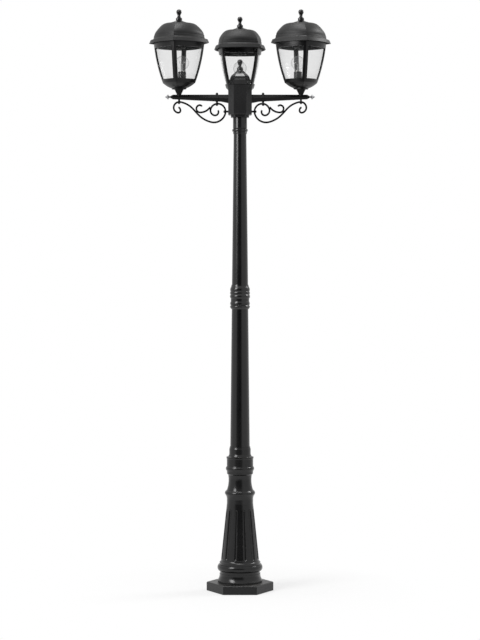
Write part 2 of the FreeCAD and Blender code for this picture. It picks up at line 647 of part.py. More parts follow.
def scroll_bar():
    main = bar(0, SCROLL_DROP, SCROLL_HEADING, SCROLL_ARCS)
    curl = bar(CURL_BACK, SCROLL_DROP - CURL_RISE, CURL_HEADING, CURL_ARCS)
    scroll = one(main.fuse(curl))
    nearest = scroll.optimalBoundingBox(False, False).XMin
    scroll.translate(vec(HUB_ACROSS / 2 + SCROLL_GAP - nearest, 0, 0))
    return scroll


SCROLL = scroll_bar()


def scroll_root():
    """Point of the scroll nearest to the hub: its reach and height."""
    edge_reach = HUB_ACROSS / 2 + SCROLL_GAP
    bounds = SCROLL.BoundBox
    slab = Part.makeBox(0.4, BAR_WIDTH, bounds.ZLength, vec(edge_reach, -BAR_WIDTH / 2, bounds.ZMin))
    box = SCROLL.common(slab).BoundBox
    return edge_reach, (box.ZMin + box.ZMax) / 2


SCROLL_EDGE, SCROLL_ROOT_Z = scroll_root()


def stud(top, bar_high, bar_low):
    """Spacer above the bar, shank through it and a domed nut below, on the Z axis."""
    return turned([(0, bar_low - STUD_NUT_HEIGHT),
                   (STUD_NUT_R * 0.75, bar_low - STUD_NUT_HEIGHT * 0.8, STUD_NUT_R, bar_low - 2),
                   (STUD_NUT_R, bar_low), (STUD_SHANK_R, bar_low), (STUD_SHANK_R, bar_high),
                   (STUD_SPACER_R, bar_high), (STUD_SPACER_R, top), (0, top)])


def scroll_bracket():
    drill = []
    for reach in (LANTERN_REACH, COLLAR_REACH):
        low, high = bar_span(SCROLL, reach)
        drill.append(rod(reach, 0, low - 2, STUD_SHANK_R + RUN_GAP, high - low + 4))
    side_start = vec(SCROLL_EDGE - 1, 0, SCROLL_ROOT_Z)
    drill.append(Part.makeCylinder(STUD_SHANK_R + RUN_GAP, BAR_THICK + 2, side_start, vec(1, 0, 0)))
    return one(SCROLL.cut(drill))


BRACKET = scroll_bracket()


def scroll_studs():
    studs = []
    for reach, extra in ((LANTERN_REACH, 0.0), (COLLAR_REACH, COLLAR_WALL)):
        low, high = bar_span(SCROLL, reach)
        piece = stud(ARM_TOP - arm_height(reach) - extra, high, low)
        piece.translate(vec(reach, 0, 0))
        piece = piece.cut([arm_skin(extra, HUB_ACROSS / 2, ARM_REACH), BRACKET])
        studs.append(one(piece))
    spacer = SCROLL_EDGE - HUB_ACROSS / 2
    side = stud(spacer, 0, -BAR_THICK)
    inner = rod(0, 0, spacer, STUD_SHANK_R - SLIDE_GAP, HUB_WALL + 6)
    side = one(side.fuse(inner))
    side.rotate(ORIGIN, vec(0, 1, 0), -90)
    side.translate(vec(SCROLL_EDGE, 0, SCROLL_ROOT_Z))
    studs.append(one(side.cut(BRACKET)))
    return group(studs)


# ---------------------------------------------------------------- lantern (about its own axis)
FLANGE_Z = ARM_TOP + STEM_HEIGHT
PAN_Z = FLANGE_Z + FLANGE_HEIGHT
BODY_Z = PAN_Z + PAN_HEIGHT
RAIL_Z = BODY_Z + BODY_HEIGHT
ROOF_Z = RAIL_Z + SEAT_GAP
BAND_Z = ROOF_Z + LIP_HEIGHT
DOME_Z = BAND_Z + BAND_HEIGHT
ROOF_TOP = DOME_Z + DOME_HEIGHT


def plan(corner, z, bulge=PLAN_BULGE):
    """Four-cornered outline with bowed sides; corner is half the diagonal."""
    half = corner / math.sqrt(2)
    out = half * (1 + bulge)
    corners = [vec(half, -half, z), vec(half, half, z), vec(-half, half, z), vec(-half, -half, z)]
    middles = [vec(out, 0, z), vec(0, out, z), vec(-out, 0, z), vec(0, -out, z)]
    edges = [Part.Arc(corners[i], middles[i], corners[(i + 1) % 4]).toShape() for i in range(4)]
    return Part.Wire(edges)


def body_corner(z):
    """Half diagonal of the lantern's body at a height, from the arc through its three sizes."""
    x0, x1, x2 = 0.0, BODY_HEIGHT / 2, BODY_HEIGHT
    y0, y1, y2 = BODY_LOW_CORNER, BODY_MID_CORNER, BODY_HIGH_CORNER
    x = z - BODY_Z
    return (y0 * (x - x1) * (x - x2) / ((x0 - x1) * (x0 - x2))
            + y1 * (x - x0) * (x - x2) / ((x1 - x0) * (x1 - x2))
            + y2 * (x - x0) * (x - x1) / ((x2 - x0) * (x2 - x1)))


def body_skin(inset, low, high, steps=4):
    heights = [low + (high - low) * i / steps for i in range(steps + 1)]
    return Part.makeLoft([plan(body_corner(z) - inset * math.sqrt(2), z) for z in heights], True, False)


def stem():
    """Conical socket that carries the lantern, saddled over the arm, with a four-cornered top flange."""
    low = ARM_TOP - SADDLE_DEPTH
    cone = turned([(0, low), (STEM_LOW_R, low), (STEM_LOW_R, ARM_TOP + 2),
                   (STEM_HIGH_R - 3, FLANGE_Z - 6, STEM_HIGH_R, FLANGE_Z), (0, FLANGE_Z)])
    flange = Part.makeLoft([plan(FLANGE_CORNER - 3, FLANGE_Z - 0.01), plan(FLANGE_CORNER, FLANGE_Z + 1.2),
                            plan(FLANGE_CORNER, PAN_Z)], True, True)
    skin = arm_skin(0.0, HUB_ACROSS / 2, ARM_REACH)
    skin.translate(vec(-LANTERN_REACH, 0, 0))
    bore = rod(0, 0, low - 1, STEM_BORE_R, PAN_Z - low + 2)
    return cone.fuse(flange), skin, bore


def lantern_stem(turn):
    body, skin, bore = stem()
    skin.rotate(ORIGIN, Z, -turn)
    return one(body.cut([skin, bore]))


def lantern_pan():
    """Shallow four-cornered dish between the stem's flange and the body."""
    levels = [plan(corner, PAN_Z + PAN_HEIGHT * share) for corner, share in PAN_LEVELS]
    outer = Part.makeLoft(levels, True, False)
    floor = PAN_Z + PAN_FLOOR
    wall = SHELL_WALL * math.sqrt(2)
    inner_levels = [plan(FLANGE_CORNER + 4, floor)]
    for corner, share in PAN_LEVELS[1:]:
        inner_levels.append(plan(corner - wall, floor + (PAN_HEIGHT - PAN_FLOOR + 0.01) * share))
    inner = Part.makeLoft(inner_levels, True, False)
    return one(outer.cut([inner, rod(0, 0, PAN_Z - 1, PAN_DRAIN_R, SHELL_WALL * 3)]))


def window(low, high, width_cut):
    """Cutter for one window and the one opposite: bowed like the posts on either side."""
    steps = 4
    near, far = [], []
    for i in range(steps + 1):
        z = low + (high - low) * i / steps
        half = body_corner(z) / math.sqrt(2) - width_cut
        near.append(vec(0, -half, z))
        far.append(vec(0, half, z))
    low_edge = Part.LineSegment(near[0], far[0]).toShape()
    high_edge = Part.LineSegment(far[-1], near[-1]).toShape()
    right = Part.Arc(far[0], far[steps // 2], far[-1]).toShape()
    left = Part.Arc(near[-1], near[steps // 2], near[0]).toShape()
    reach = BODY_HIGH_CORNER * 1.5
    face = Part.Face(Part.Wire([low_edge, right, high_edge, left]))
    face.translate(vec(-reach, 0, 0))
    return face.extrude(vec(2 * reach, 0, 0))


def lantern_frame():
    """Sill, four curved posts and top rail in one casting."""
    shell = body_skin(0.0, BODY_Z, RAIL_Z).cut(body_skin(SHELL_WALL, BODY_Z - 0.5, RAIL_Z + 0.5))
    cut = window(BODY_Z + SILL_HEIGHT, RAIL_Z - RAIL_HEIGHT, POST_WIDTH * 0.77)
    turned_cut = cut.copy()
    turned_cut.rotate(ORIGIN, Z, 90)
    return one(shell.cut([cut, turned_cut]))


def glass_panes():
    """Four bowed panes held against the inside of the frame, one behind each window."""
    low = BODY_Z + SILL_HEIGHT - PANE_OVERLAP
    high = RAIL_Z - RAIL_HEIGHT + PANE_OVERLAP
    inset = SHELL_WALL + SLIDE_GAP
    shell = body_skin(inset, low, high).cut(body_skin(inset + PANE_WALL, low - 0.5, high + 0.5))
    reach = BODY_HIGH_CORNER * 1.5
    cross = Part.makeBox(2 * reach, PANE_CORNER_GAP, high - low + 2,
                         vec(-reach, -PANE_CORNER_GAP / 2, low - 1))
    cross.rotate(ORIGIN, Z, 45)
    other = cross.copy()
    other.rotate(ORIGIN, Z, 90)
    return group(shell.cut([cross, other]).Solids)


def dome_levels(inset, drop):
    """Outlines up the dome, brought in by inset and down by drop."""
    levels = []
    for corner, share in DOME_LEVELS:
        bulge = PLAN_BULGE + (DOME_TOP_BULGE - PLAN_BULGE) * share
        levels.append(plan(corner - inset, DOME_Z + DOME_HEIGHT * share - drop, bulge))
    return levels


def roof():
    """Flared lip, coved band and four-sided bowed dome, cast as one shell with a seat ring under it."""
    inset = ROOF_WALL * math.sqrt(2)
    dome_corner = DOME_LEVELS[0][0]
    lip = Part.makeLoft([plan(LIP_CORNER, ROOF_Z), plan(LIP_CORNER - 0.5, ROOF_Z + LIP_EDGE),
                         plan(LIP_SHOULDER_CORNER, ROOF_Z + LIP_SHOULDER), plan(BAND_CORNER + 4, BAND_Z),
                         plan(BAND_CORNER + 1, BAND_Z + 4), plan(BAND_CORNER, DOME_Z - 1),
                         plan(dome_corner, DOME_Z)], True, True)
    dome = Part.makeLoft(dome_levels(0, 0), True, False)
    hollow = Part.makeLoft(dome_levels(inset, ROOF_WALL), True, False)
    throat = Part.makeLoft([plan(THROAT_CORNER, ROOF_Z - 1),
                            plan(dome_corner - inset, DOME_Z - ROOF_WALL)], True, True)
    recess = LIP_WALL * math.sqrt(2)
    under = Part.makeLoft([plan(LIP_CORNER - recess, ROOF_Z - 1),
                           plan(LIP_SHOULDER_CORNER - recess, ROOF_Z + LIP_SHOULDER - LIP_WALL)], True, True)
    seat = Part.makeLoft([plan(SEAT_CORNER, ROOF_Z - 2), plan(SEAT_CORNER, DOME_Z)], True, True)
    hole = rod(0, 0, DOME_Z, ROOF_HOLE_R, DOME_HEIGHT + 1)
    return one(lip.fuse(dome).cut([throat, hollow, hole, under.cut(seat)]))


def heat_shield():
    """Shallow dished disc under the roof, clamped on the finial's rod with a nut."""
    low = RAIL_Z - SHIELD_DROP - SHIELD_HEIGHT + 4
    r = FINIAL_ROD_R
    return turned([(r, low - 5), (r + 5, low - 5), (r + 5, low + SHIELD_HEIGHT - 3),
                   (SHIELD_R - 3, low + SHIELD_HEIGHT - 3),
                   (SHIELD_R - 2, low), (SHIELD_R, low), (SHIELD_R - 1.5, low + SHIELD_HEIGHT),
                   (r + 6, low + SHIELD_HEIGHT), (r + 4, low + SHIELD_HEIGHT + 5),
                   (r, low + SHIELD_HEIGHT + 5)])


def lamp_holder():
    low = PAN_Z + PAN_FLOOR
    top = ARM_TOP + HOLDER_TOP
    well = LAMP_CAP_R + RUN_GAP
    return turned([(3.5, low), (HOLDER_FOOT_R, low), (HOLDER_FOOT_R, low + HOLDER_FOOT),
                   (HOLDER_R - 1, low + HOLDER_FOOT + HOLDER_FLARE),
                   (HOLDER_R - 1, top - 24), (HOLDER_R, top - 23), (HOLDER_R, top - 1),
                   (HOLDER_R - 0.6, top), (well, top),
                   (well, top - HOLDER_WELL), (3.5, top - HOLDER_WELL)])


def lamp_cap():
    """Screw cap of the lamp, seated in the holder's well, with its contact boss."""
    top = ARM_TOP + HOLDER_TOP + 1
    low = ARM_TOP + HOLDER_TOP - HOLDER_WELL + SEAT_GAP
    return turned([(0, low), (4.5, low), (5.5, low + 2.5), (LAMP_CAP_R, low + 6),
                   (LAMP_CAP_R, top), (0, top)])


def lamp_globe():
    """Clear glass globe, open at its neck, cemented on the cap."""
    low = ARM_TOP + HOLDER_TOP + 1
    high = low + LAMP_HEIGHT
    centre = high - LAMP_GLOBE_R
    reach = math.sqrt(LAMP_GLOBE_R ** 2 - LAMP_NECK_R ** 2) * 0.8
    thin = LAMP_GLASS
    inner_r = LAMP_GLOBE_R - thin
    join_z = centre - reach
    join_r = math.sqrt(LAMP_GLOBE_R ** 2 - reach ** 2)
    inner_join = math.sqrt(inner_r ** 2 - reach ** 2)
    return turned([(LAMP_NECK_R - thin, low), (LAMP_NECK_R, low),
                   (LAMP_NECK_R + 0.6, (low + join_z) / 2 - 1, join_r, join_z),
                   (LAMP_GLOBE_R, centre, 0, high), (0, high - thin),
                   (inner_r, centre, inner_join, join_z),
                   (LAMP_NECK_R + 0.6 - thin, (low + join_z) / 2 - 1, LAMP_NECK_R - thin, low)])


def arm_lead():
    """Supply lead: out of the hub, along the arm's hollow, round one bend and up to the holder."""
    height = LEAD_Z
    start = vec(HUB_ACROSS / 2 - 2 * HUB_WALL, 0, height)
    bend = vec(LANTERN_REACH - LEAD_BEND_R, 0, height)
    flare = (HOLDER_R - 1 - HOLDER_FOOT_R) / HOLDER_FLARE
    under = HOLDER_FOOT + (HOLDER_OFFSET - LEAD_R - SLIDE_GAP - HOLDER_FOOT_R) / flare
    top = vec(LANTERN_REACH, 0, PAN_Z + PAN_FLOOR + under)
    swing = vec(LANTERN_REACH, 0, height + LEAD_BEND_R)
    turn = polar(LEAD_BEND_R, -45, 0)
    middle = vec(bend.x + turn.x, 0, height + LEAD_BEND_R + turn.y)
    path = Part.Wire([Part.LineSegment(start, bend).toShape(), Part.Arc(bend, middle, swing).toShape(),
                      Part.LineSegment(swing, top).toShape()])
    ring = Part.Wire([Part.makeCircle(LEAD_R, start, vec(1, 0, 0))])
    lead = path.makePipeShell([ring], True, True)
    return lead


# ---------------------------------------------------------------- write every sub-part
os.makedirs("parts", exist_ok=True)

save(base_plate(), "base_plate")
save(foot_flange(), "foot_flange")
save(pedestal(), "pedestal")
save(pedestal_neck(), "pedestal_neck")
save(lower_column(), "lower_column")
save(mid_collar(), "mid_collar")
save(upper_column(), "upper_column")
save(top_collar(), "top_collar")
save(hub(), "hub")
save(hub_cap(), "hub_cap")
save(finial(HUB_TOP + CAP_HEIGHT, CAP_HEIGHT / 4, HUB_FINIAL_FLANGE_R), "hub_finial")
save(group(hub_screw_solids()), "hub_screws")
save(arm_screws(), "arm_screws")
save(terminal_block(), "terminal_block")

leads = []
for name, azimuth in ARM_AZIMUTH.items():
    on_arm = {"arm": arm(), "arm_spear": arm_spear(), "arm_collar": arm_collar(),
              "scroll_bracket": scroll_bracket(), "scroll_studs": scroll_studs()}
    for node, shape in on_arm.items():
        shape.rotate(ORIGIN, Z, azimuth)
        save(shape, node + "_" + name)
    lead = arm_lead()
    lead.rotate(ORIGIN, Z, azimuth)
    leads.append(lead)
    turn = LANTERN_TURN[name]
    on_axis = {"lantern_stem": lantern_stem(turn), "lantern_pan": lantern_pan(),
               "lantern_frame": lantern_frame(),
               "glass_panes": glass_panes(), "roof": roof(), "heat_shield": heat_shield(),
               "roof_finial": finial(ROOF_TOP, ROOF_TOP - RAIL_Z + SHIELD_DROP + 2, FINIAL_FLANGE_R)}
    off_axis = {"lamp_holder": lamp_holder(), "lamp_cap": lamp_cap(), "lamp_globe": lamp_globe()}
    for node, shape in off_axis.items():
        shape.translate(vec(HOLDER_OFFSET, 0, 0))
        on_axis[node] = shape
    for node, shape in on_axis.items():
        shape.rotate(ORIGIN, Z, turn)
        shape.translate(vec(LANTERN_REACH, 0, 0))
        shape.rotate(ORIGIN, Z, azimuth)
        save(shape, node + "_" + name)
save(group(leads), "arm_leads")
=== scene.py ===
import math

import bmesh
import bpy
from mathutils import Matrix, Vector


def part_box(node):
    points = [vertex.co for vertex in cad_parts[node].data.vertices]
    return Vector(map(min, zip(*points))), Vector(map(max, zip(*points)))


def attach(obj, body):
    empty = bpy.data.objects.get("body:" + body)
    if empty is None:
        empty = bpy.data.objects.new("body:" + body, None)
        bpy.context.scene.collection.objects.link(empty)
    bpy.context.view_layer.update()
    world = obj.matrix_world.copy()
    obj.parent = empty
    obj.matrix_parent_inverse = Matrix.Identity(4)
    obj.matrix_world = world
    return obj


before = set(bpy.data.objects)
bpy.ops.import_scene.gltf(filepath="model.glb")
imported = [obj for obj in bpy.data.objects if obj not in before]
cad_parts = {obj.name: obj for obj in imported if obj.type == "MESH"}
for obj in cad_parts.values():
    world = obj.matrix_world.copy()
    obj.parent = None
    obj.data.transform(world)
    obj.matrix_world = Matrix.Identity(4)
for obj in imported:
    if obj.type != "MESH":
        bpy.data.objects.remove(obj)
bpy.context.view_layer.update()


# ---- foot plate ----
# The hexagonal plate that the post stands on, cast in aluminium and powder coated satin black like the rest.
# Its sand-cast face is coarser than the turned parts above it, and its top gathers some dust.
MILLIMETRE = 0.001
DUST = (0.16, 0.155, 0.145)
DUST_ROUGHNESS = 0.4             # what a full layer of dust adds
PATCH_SCALE = 9.0                # cloudy patches, about 11 cm across
PATCH_SHARE = 0.6                # of the tone; the casting's skin gives the rest
SKIN_SHARE = 0.4
PATCH_ROUGHNESS = 0.12
GRAIN_ROUGHNESS = 0.10
RUN_STRETCH = (90.0, 90.0, 5.0)  # rain's upright runs, about 11 mm wide and 20 cm tall
NOISE_MIDDLE = 0.5


class Val:
    """A shader value: arithmetic on it adds Math nodes."""

    def __init__(self, tree, socket):
        self.tree = tree
        self.socket = socket

    def math(self, operation, *values):
        node = self.tree.nodes.new("ShaderNodeMath")
        node.operation = operation
        for entry, value in zip(node.inputs, values):
            plug(self.tree, entry, value)
        return Val(self.tree, node.outputs[0])

    def __add__(self, other):
        return self.math("ADD", self, other)

    def __radd__(self, other):
        return self.math("ADD", other, self)

    def __sub__(self, other):
        return self.math("SUBTRACT", self, other)

    def __rsub__(self, other):
        return self.math("SUBTRACT", other, self)

    def __mul__(self, other):
        return self.math("MULTIPLY", self, other)

    def __rmul__(self, other):
        return self.math("MULTIPLY", other, self)

    def __truediv__(self, other):
        return self.math("DIVIDE", self, other)

    def __pow__(self, other):
        return self.math("POWER", self, other)

    def at_least(self, other):
        return self.math("MAXIMUM", self, other)

    def at_most(self, other):
        return self.math("MINIMUM", self, other)

    def above(self, edge, width):
        """0 below edge, rising to 1 over width."""
        return ((self - edge) / width).at_least(0.0).at_most(1.0)

    def spread(self):
        """A noise, which mostly lies between 0.3 and 0.7, spread over 0 to 1."""
        return self.above(0.3, 0.4)


def plug(tree, entry, value):
    if isinstance(value, Val):
        tree.links.new(value.socket, entry)
    else:
        entry.default_value = value


class Nodes:
    """Makes the nodes of one node tree."""

    def __init__(self, tree):
        self.tree = tree

    def node(self, kind, output, settings=(), **inputs):
        """Any node: its type, the output wanted, its settings and its socket values or links."""
        node = self.tree.nodes.new("ShaderNode" + kind)
        for setting, value in dict(settings).items():
            setattr(node, setting, value)
        for socket, value in inputs.items():
            plug(self.tree, node.inputs[socket.replace("_", " ")], value)
        return Val(self.tree, node.outputs[output])


class Paint(Nodes):
    """A node material being made, with one Principled shader."""

    def __init__(self, name, **constants):
        self.material = bpy.data.materials.new(name)
        self.material.use_nodes = True
        super().__init__(self.material.node_tree)
        self.shader = self.tree.nodes["Principled BSDF"]
        self.shade(**constants)

    def place(self):
        return self.node("TexCoord", "Object")

    def stretched(self, x, y, z):
        return self.node("Mapping", "Vector", Vector=self.place(), Scale=(x, y, z))

    def noise(self, scale, detail=2.0, vector=None):
        return self.node("TexNoise", "Fac", Vector=vector or self.place(), Scale=scale, Detail=detail)

    def mix(self, factor, low, high):
        """From one colour to another; each is a value or plain (red, green, blue)."""
        node = self.tree.nodes.new("ShaderNodeMix")
        node.data_type = "RGBA"
        factor_entry, low_entry, high_entry = node.inputs[0], node.inputs[6], node.inputs[7]
        plug(self.tree, factor_entry, factor)
        for entry, colour in ((low_entry, low), (high_entry, high)):
            plug(self.tree, entry, colour if isinstance(colour, Val) else (*colour, 1.0))
        return Val(self.tree, node.outputs[2])

    def up(self):
        """How far the surface faces the sky, 0 to 1."""
        return self.node("SeparateXYZ", "Z", Vector=self.node("NewGeometry", "Normal")).at_least(0.0)

    def shade(self, **values):
        """Sets or links sockets of the shader."""
        for socket, value in values.items():
            plug(self.tree, self.shader.inputs[socket.replace("_", " ")], value)

    def bump(self, height):
        """Relief; height is in millimetres."""
        self.shade(Normal=self.node("Bump", "Normal", Strength=1.0, Distance=MILLIMETRE, Height=height))

    def on(self, *names):
        """Gives the paint to CAD nodes."""
        for name in names:
            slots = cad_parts[name].data.materials
            slots.clear()
            slots.append(self.material)


def coat(name, black, grey, dust, sheen, peel, peel_size, cast, cast_size, runs=0.0, shine=0.5):
    """Black powder coat in tones from black to grey, each plain (red, green, blue).

    dust is the share of dust on top faces and sheen the roughness. peel and cast are the relief in millimetres
    of the orange peel and of the casting's skin. runs is the contrast of the rain's runs, and shine the
    specular level.
    """
    paint = Paint(name, Specular_IOR_Level=shine)
    grain = paint.noise(1.0 / peel_size)
    skin = paint.noise(1.0 / cast_size, 4.0)
    patches = paint.noise(PATCH_SCALE, 3.0)
    run_lines = paint.noise(1.0, 3.0, paint.stretched(*RUN_STRETCH))
    tone = patches * PATCH_SHARE + skin * SKIN_SHARE + (run_lines - NOISE_MIDDLE) * runs
    settled = paint.up() ** 3.0 * patches.above(0.35, 0.35) * dust
    paint.shade(Base_Color=paint.mix(settled, paint.mix(tone.spread(), black, grey), DUST),
                Roughness=(sheen + (grain - NOISE_MIDDLE) * GRAIN_ROUGHNESS
                           + (patches - NOISE_MIDDLE) * PATCH_ROUGHNESS + settled * DUST_ROUGHNESS))
    paint.bump(grain * peel + skin * cast)
    return paint


PLATE_BLACK = (0.009, 0.009, 0.0095)
PLATE_GREY = (0.014, 0.014, 0.0145)
plate_coat = coat("plate_coat", PLATE_BLACK, PLATE_GREY, dust=0.22, sheen=0.34, peel=0.02, peel_size=0.0016,
                  cast=0.09, cast_size=0.005, shine=0.3)
plate_coat.on("base_plate")


# ---- foot flange and pedestal ----
# The cast ring at the post's foot, the fluted pedestal and the turned neck that takes the column, stacked in
# sockets. They have the same coat as the plate, but smoother and glossier.
PEDESTAL_BLACK = (0.007, 0.007, 0.0073)
PEDESTAL_GREY = (0.012, 0.012, 0.0123)
pedestal_coat = coat("pedestal_coat", PEDESTAL_BLACK, PEDESTAL_GREY, dust=0.10, sheen=0.20, peel=0.012,
                     peel_size=0.0015, cast=0.05, cast_size=0.007, shine=0.38)
pedestal_coat.on("foot_flange", "pedestal", "pedestal_neck")


# ---- columns ----
# Two aluminium tubes, tapered upward and joined by the mid collar. They carry only the powder's fine peel and
# a few faint upright runs that rain has left.
TUBE_BLACK = (0.003, 0.003, 0.0033)
TUBE_GREY = (0.0052, 0.0052, 0.0055)
tube_coat = coat("tube_coat", TUBE_BLACK, TUBE_GREY, dust=0.0, sheen=0.24, peel=0.010, peel_size=0.0013,
                 cast=0.05, cast_size=0.02, runs=0.35)
tube_coat.on("lower_column", "upper_column")


# ---- collars ----
# Turned aluminium rings that sleeve the tubes, coated with them. The mid collar joins the two columns and the
# top collar carries the hub; a little dust lies on their ledges.
collar_coat = coat("collar_coat", TUBE_BLACK, PEDESTAL_GREY, dust=0.08, sheen=0.22, peel=0.012,
                   peel_size=0.0014, cast=0.04, cast_size=0.005)
collar_coat.on("mid_collar", "top_collar")


# ---- hub, cap and finial ----
# The eight-sided cast box that carries the arms, and on it the stepped cap and the bud finial, whose coat is
# darker and glossier. The round screw heads on the corner faces are painted over with the rest.
HUB_BLACK = (0.015, 0.015, 0.0155)
HUB_GREY = (0.021, 0.021, 0.0215)
hub_coat = coat("hub_coat", HUB_BLACK, HUB_GREY, dust=0.12, sheen=0.27, peel=0.015, peel_size=0.0014,
                cast=0.06, cast_size=0.006, shine=0.35)
hub_coat.on("hub")
cap_coat = coat("cap_coat", TUBE_BLACK, PEDESTAL_GREY, dust=0.05, sheen=0.23, peel=0.008, peel_size=0.0013,
                cast=0.03, cast_size=0.005)
cap_coat.on("hub_cap", "hub_finial")
screw_coat = coat("screw_coat", TUBE_BLACK, HUB_GREY, dust=0.0, sheen=0.24, peel=0.03, peel_size=0.0006,
                  cast=0.1, cast_size=0.002)
screw_coat.on("hub_screws")


# ---- inside the hub ----
# Zinc-plated screws that hold the arms from inside, the moulded cream terminal block on the hub's floor, and
# the black leads that run along the arms to the lanterns.
def grained(paint, grain, dark, light, rough, rough_gain, relief):
    """One grain gives the tone between two colours, the roughness, and a relief in millimetres."""
    paint.shade(Base_Color=paint.mix(grain, dark, light), Roughness=rough + grain * rough_gain)
    paint.bump(grain * relief)


zinc = Paint("zinc", Metallic=1.0)
grained(zinc, zinc.noise(400.0, 3.0), dark=(0.42, 0.43, 0.42), light=(0.62, 0.62, 0.58),
        rough=0.25, rough_gain=0.25, relief=0.05)
zinc.on("arm_screws")
block = Paint("block_plastic", Specular_IOR_Level=0.4)
grained(block, block.noise(700.0), dark=(0.62, 0.58, 0.46), light=(0.70, 0.67, 0.56),
        rough=0.45, rough_gain=0.15, relief=0.06)
block.on("terminal_block")
lead = Paint("lead_jacket", Specular_IOR_Level=0.35)
grained(lead, lead.noise(1.0, vector=lead.stretched(900.0, 900.0, 120.0)),
        dark=(0.012, 0.012, 0.012), light=(0.026, 0.026, 0.026), rough=0.5, rough_gain=0.2, relief=0.08)
lead.on("arm_leads")


# ---- arms and their collars ----
# Hollow hexagonal castings that taper outward, screwed to the hub from inside. Each has a banded collar with
# its screw, and a conical stem saddled on it for the lantern; all are duller than the turned parts.
SIDES = ("left", "right", "rear")


def each(piece):
    """The names of one piece on the three arms."""
    return [piece + "_" + side for side in SIDES]


arm_coat = coat("arm_coat", TUBE_BLACK, TUBE_GREY, dust=0.03, sheen=0.26, peel=0.015, peel_size=0.0013,
                cast=0.06, cast_size=0.006, shine=0.15)
arm_coat.on(*each("arm"), *each("arm_collar"), *each("lantern_stem"))


# ---- spear tips ----
# Cast tips screwed into the arms' noses, in worn pewter grey that is lighter where hands and weather have
# rubbed them.
pewter = Paint("pewter", Metallic=0.75)
pewter_cloud = pewter.noise(160.0, 4.0)
pewter.shade(Base_Color=pewter.mix(pewter_cloud.spread(), (0.16, 0.16, 0.165), (0.42, 0.42, 0.43)),
             Roughness=0.38 + pewter_cloud * 0.2)
pewter.bump(pewter_cloud * 0.12)
pewter.on(*each("arm_spear"))


# ---- scroll brackets and studs ----
# Flat steel bar bent cold over formers, then coated: slight ripples along the bends and the smooth peel.
# Three studs with domed nuts hold each one, at the lantern, the collar and the hub.
BAR_GREY = (0.009, 0.009, 0.0094)
bar_coat = coat("bar_coat", TUBE_BLACK, BAR_GREY, dust=0.06, sheen=0.26, peel=0.012, peel_size=0.0012,
                cast=0.05, cast_size=0.009, shine=0.4)
bar_coat.on(*each("scroll_bracket"), *each("scroll_studs"))


# ---- lantern pans and frames ----
# Thin aluminium castings: a dish on the stem's flange, and on it the sill, four bowed posts and top rail in
# one piece. The inside is coated too.
frame_coat = coat("frame_coat", TUBE_BLACK, TUBE_GREY, dust=0.06, sheen=0.28, peel=0.015, peel_size=0.0012,
                  cast=0.06, cast_size=0.005, shine=0.3)
frame_coat.on(*each("lantern_pan"), *each("lantern_frame"))


# ---- glass panes ----
# Clear bowed panes held against the inside of the frame: nearly invisible face on, with a painted reflection
# that makes them paler and more opaque at a grazing angle, and a trace of dust above the sill.
def grazing(paint, blend, power):
    """0 where the surface is seen face on, rising to 1 at its edge; it masks the painted reflections on glass.
    """
    return paint.node("LayerWeight", "Facing", Blend=blend) ** power


PANE_DUST_RISE = 0.035           # metres above the sill
PANE_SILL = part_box("glass_panes_left")[0].z
pane = Paint("pane_glass", IOR=1.5, Specular_IOR_Level=0.6)
pane_film = pane.noise(30.0, 3.0)
pane_height = pane.node("SeparateXYZ", "Z", Vector=pane.place())
pane_dust = (1.0 - pane_height.above(PANE_SILL, PANE_DUST_RISE)) * pane_film
# Painted reflection: toward a grazing angle the pane's colour turns pale and its alpha rises.
pane_painted_reflection = grazing(pane, 0.35, 3.0)
pane_clear = pane.mix(pane_dust, (0.16, 0.165, 0.165), (0.32, 0.31, 0.30))
pane.shade(Base_Color=pane.mix(pane_painted_reflection, pane_clear, (0.88, 0.89, 0.89)),
           Roughness=0.09 + pane_film * 0.04 + pane_dust * 0.2,
           Alpha=0.068 + pane_painted_reflection * 0.45 + pane_dust * 0.06)
pane.bump(pane_film * 0.002)
pane.on(*each("glass_panes"))


# ---- roofs, roof finials and heat shields ----
# Each roof is one casting, with lip, band and dome, rougher than the rest and marked by rain. The glossy
# turned finial's rod clamps it, and the dished shield of thin dark sheet under it.
ROOF_BLACK = (0.005, 0.005, 0.0053)
roof_coat = coat("roof_coat", ROOF_BLACK, PEDESTAL_GREY, dust=0.14, sheen=0.50, peel=0.006, peel_size=0.0013,
                 cast=0.01, cast_size=0.007, runs=0.2, shine=0.34)
roof_coat.on(*each("roof"))
finial_coat = coat("finial_coat", TUBE_BLACK, TUBE_GREY, dust=0.02, sheen=0.18, peel=0.010, peel_size=0.0012,
                   cast=0.03, cast_size=0.005)
finial_coat.on(*each("roof_finial"))
SHIELD_BLACK = (0.012, 0.012, 0.012)
SHIELD_GREY = (0.03, 0.029, 0.028)
shield_coat = coat("shield_coat", SHIELD_BLACK, SHIELD_GREY, dust=0.1, sheen=0.45, peel=0.03, peel_size=0.001,
                   cast=0.05, cast_size=0.01)
shield_coat.on(*each("heat_shield"))


# ---- lamp holders ----
# Black moulded shells that stand on the pans' floors, where the leads from the arms come up to them. They have
# a satin skin and fine upright moulding lines.
holder = Paint("holder_plastic", Specular_IOR_Level=0.4)
grained(holder, holder.noise(1.0, 1.0, holder.stretched(900.0, 900.0, 15.0)),
        dark=(0.008, 0.008, 0.009), light=(0.018, 0.018, 0.019), rough=0.26, rough_gain=0.10, relief=0.02)
holder.on(*each("lamp_holder"))


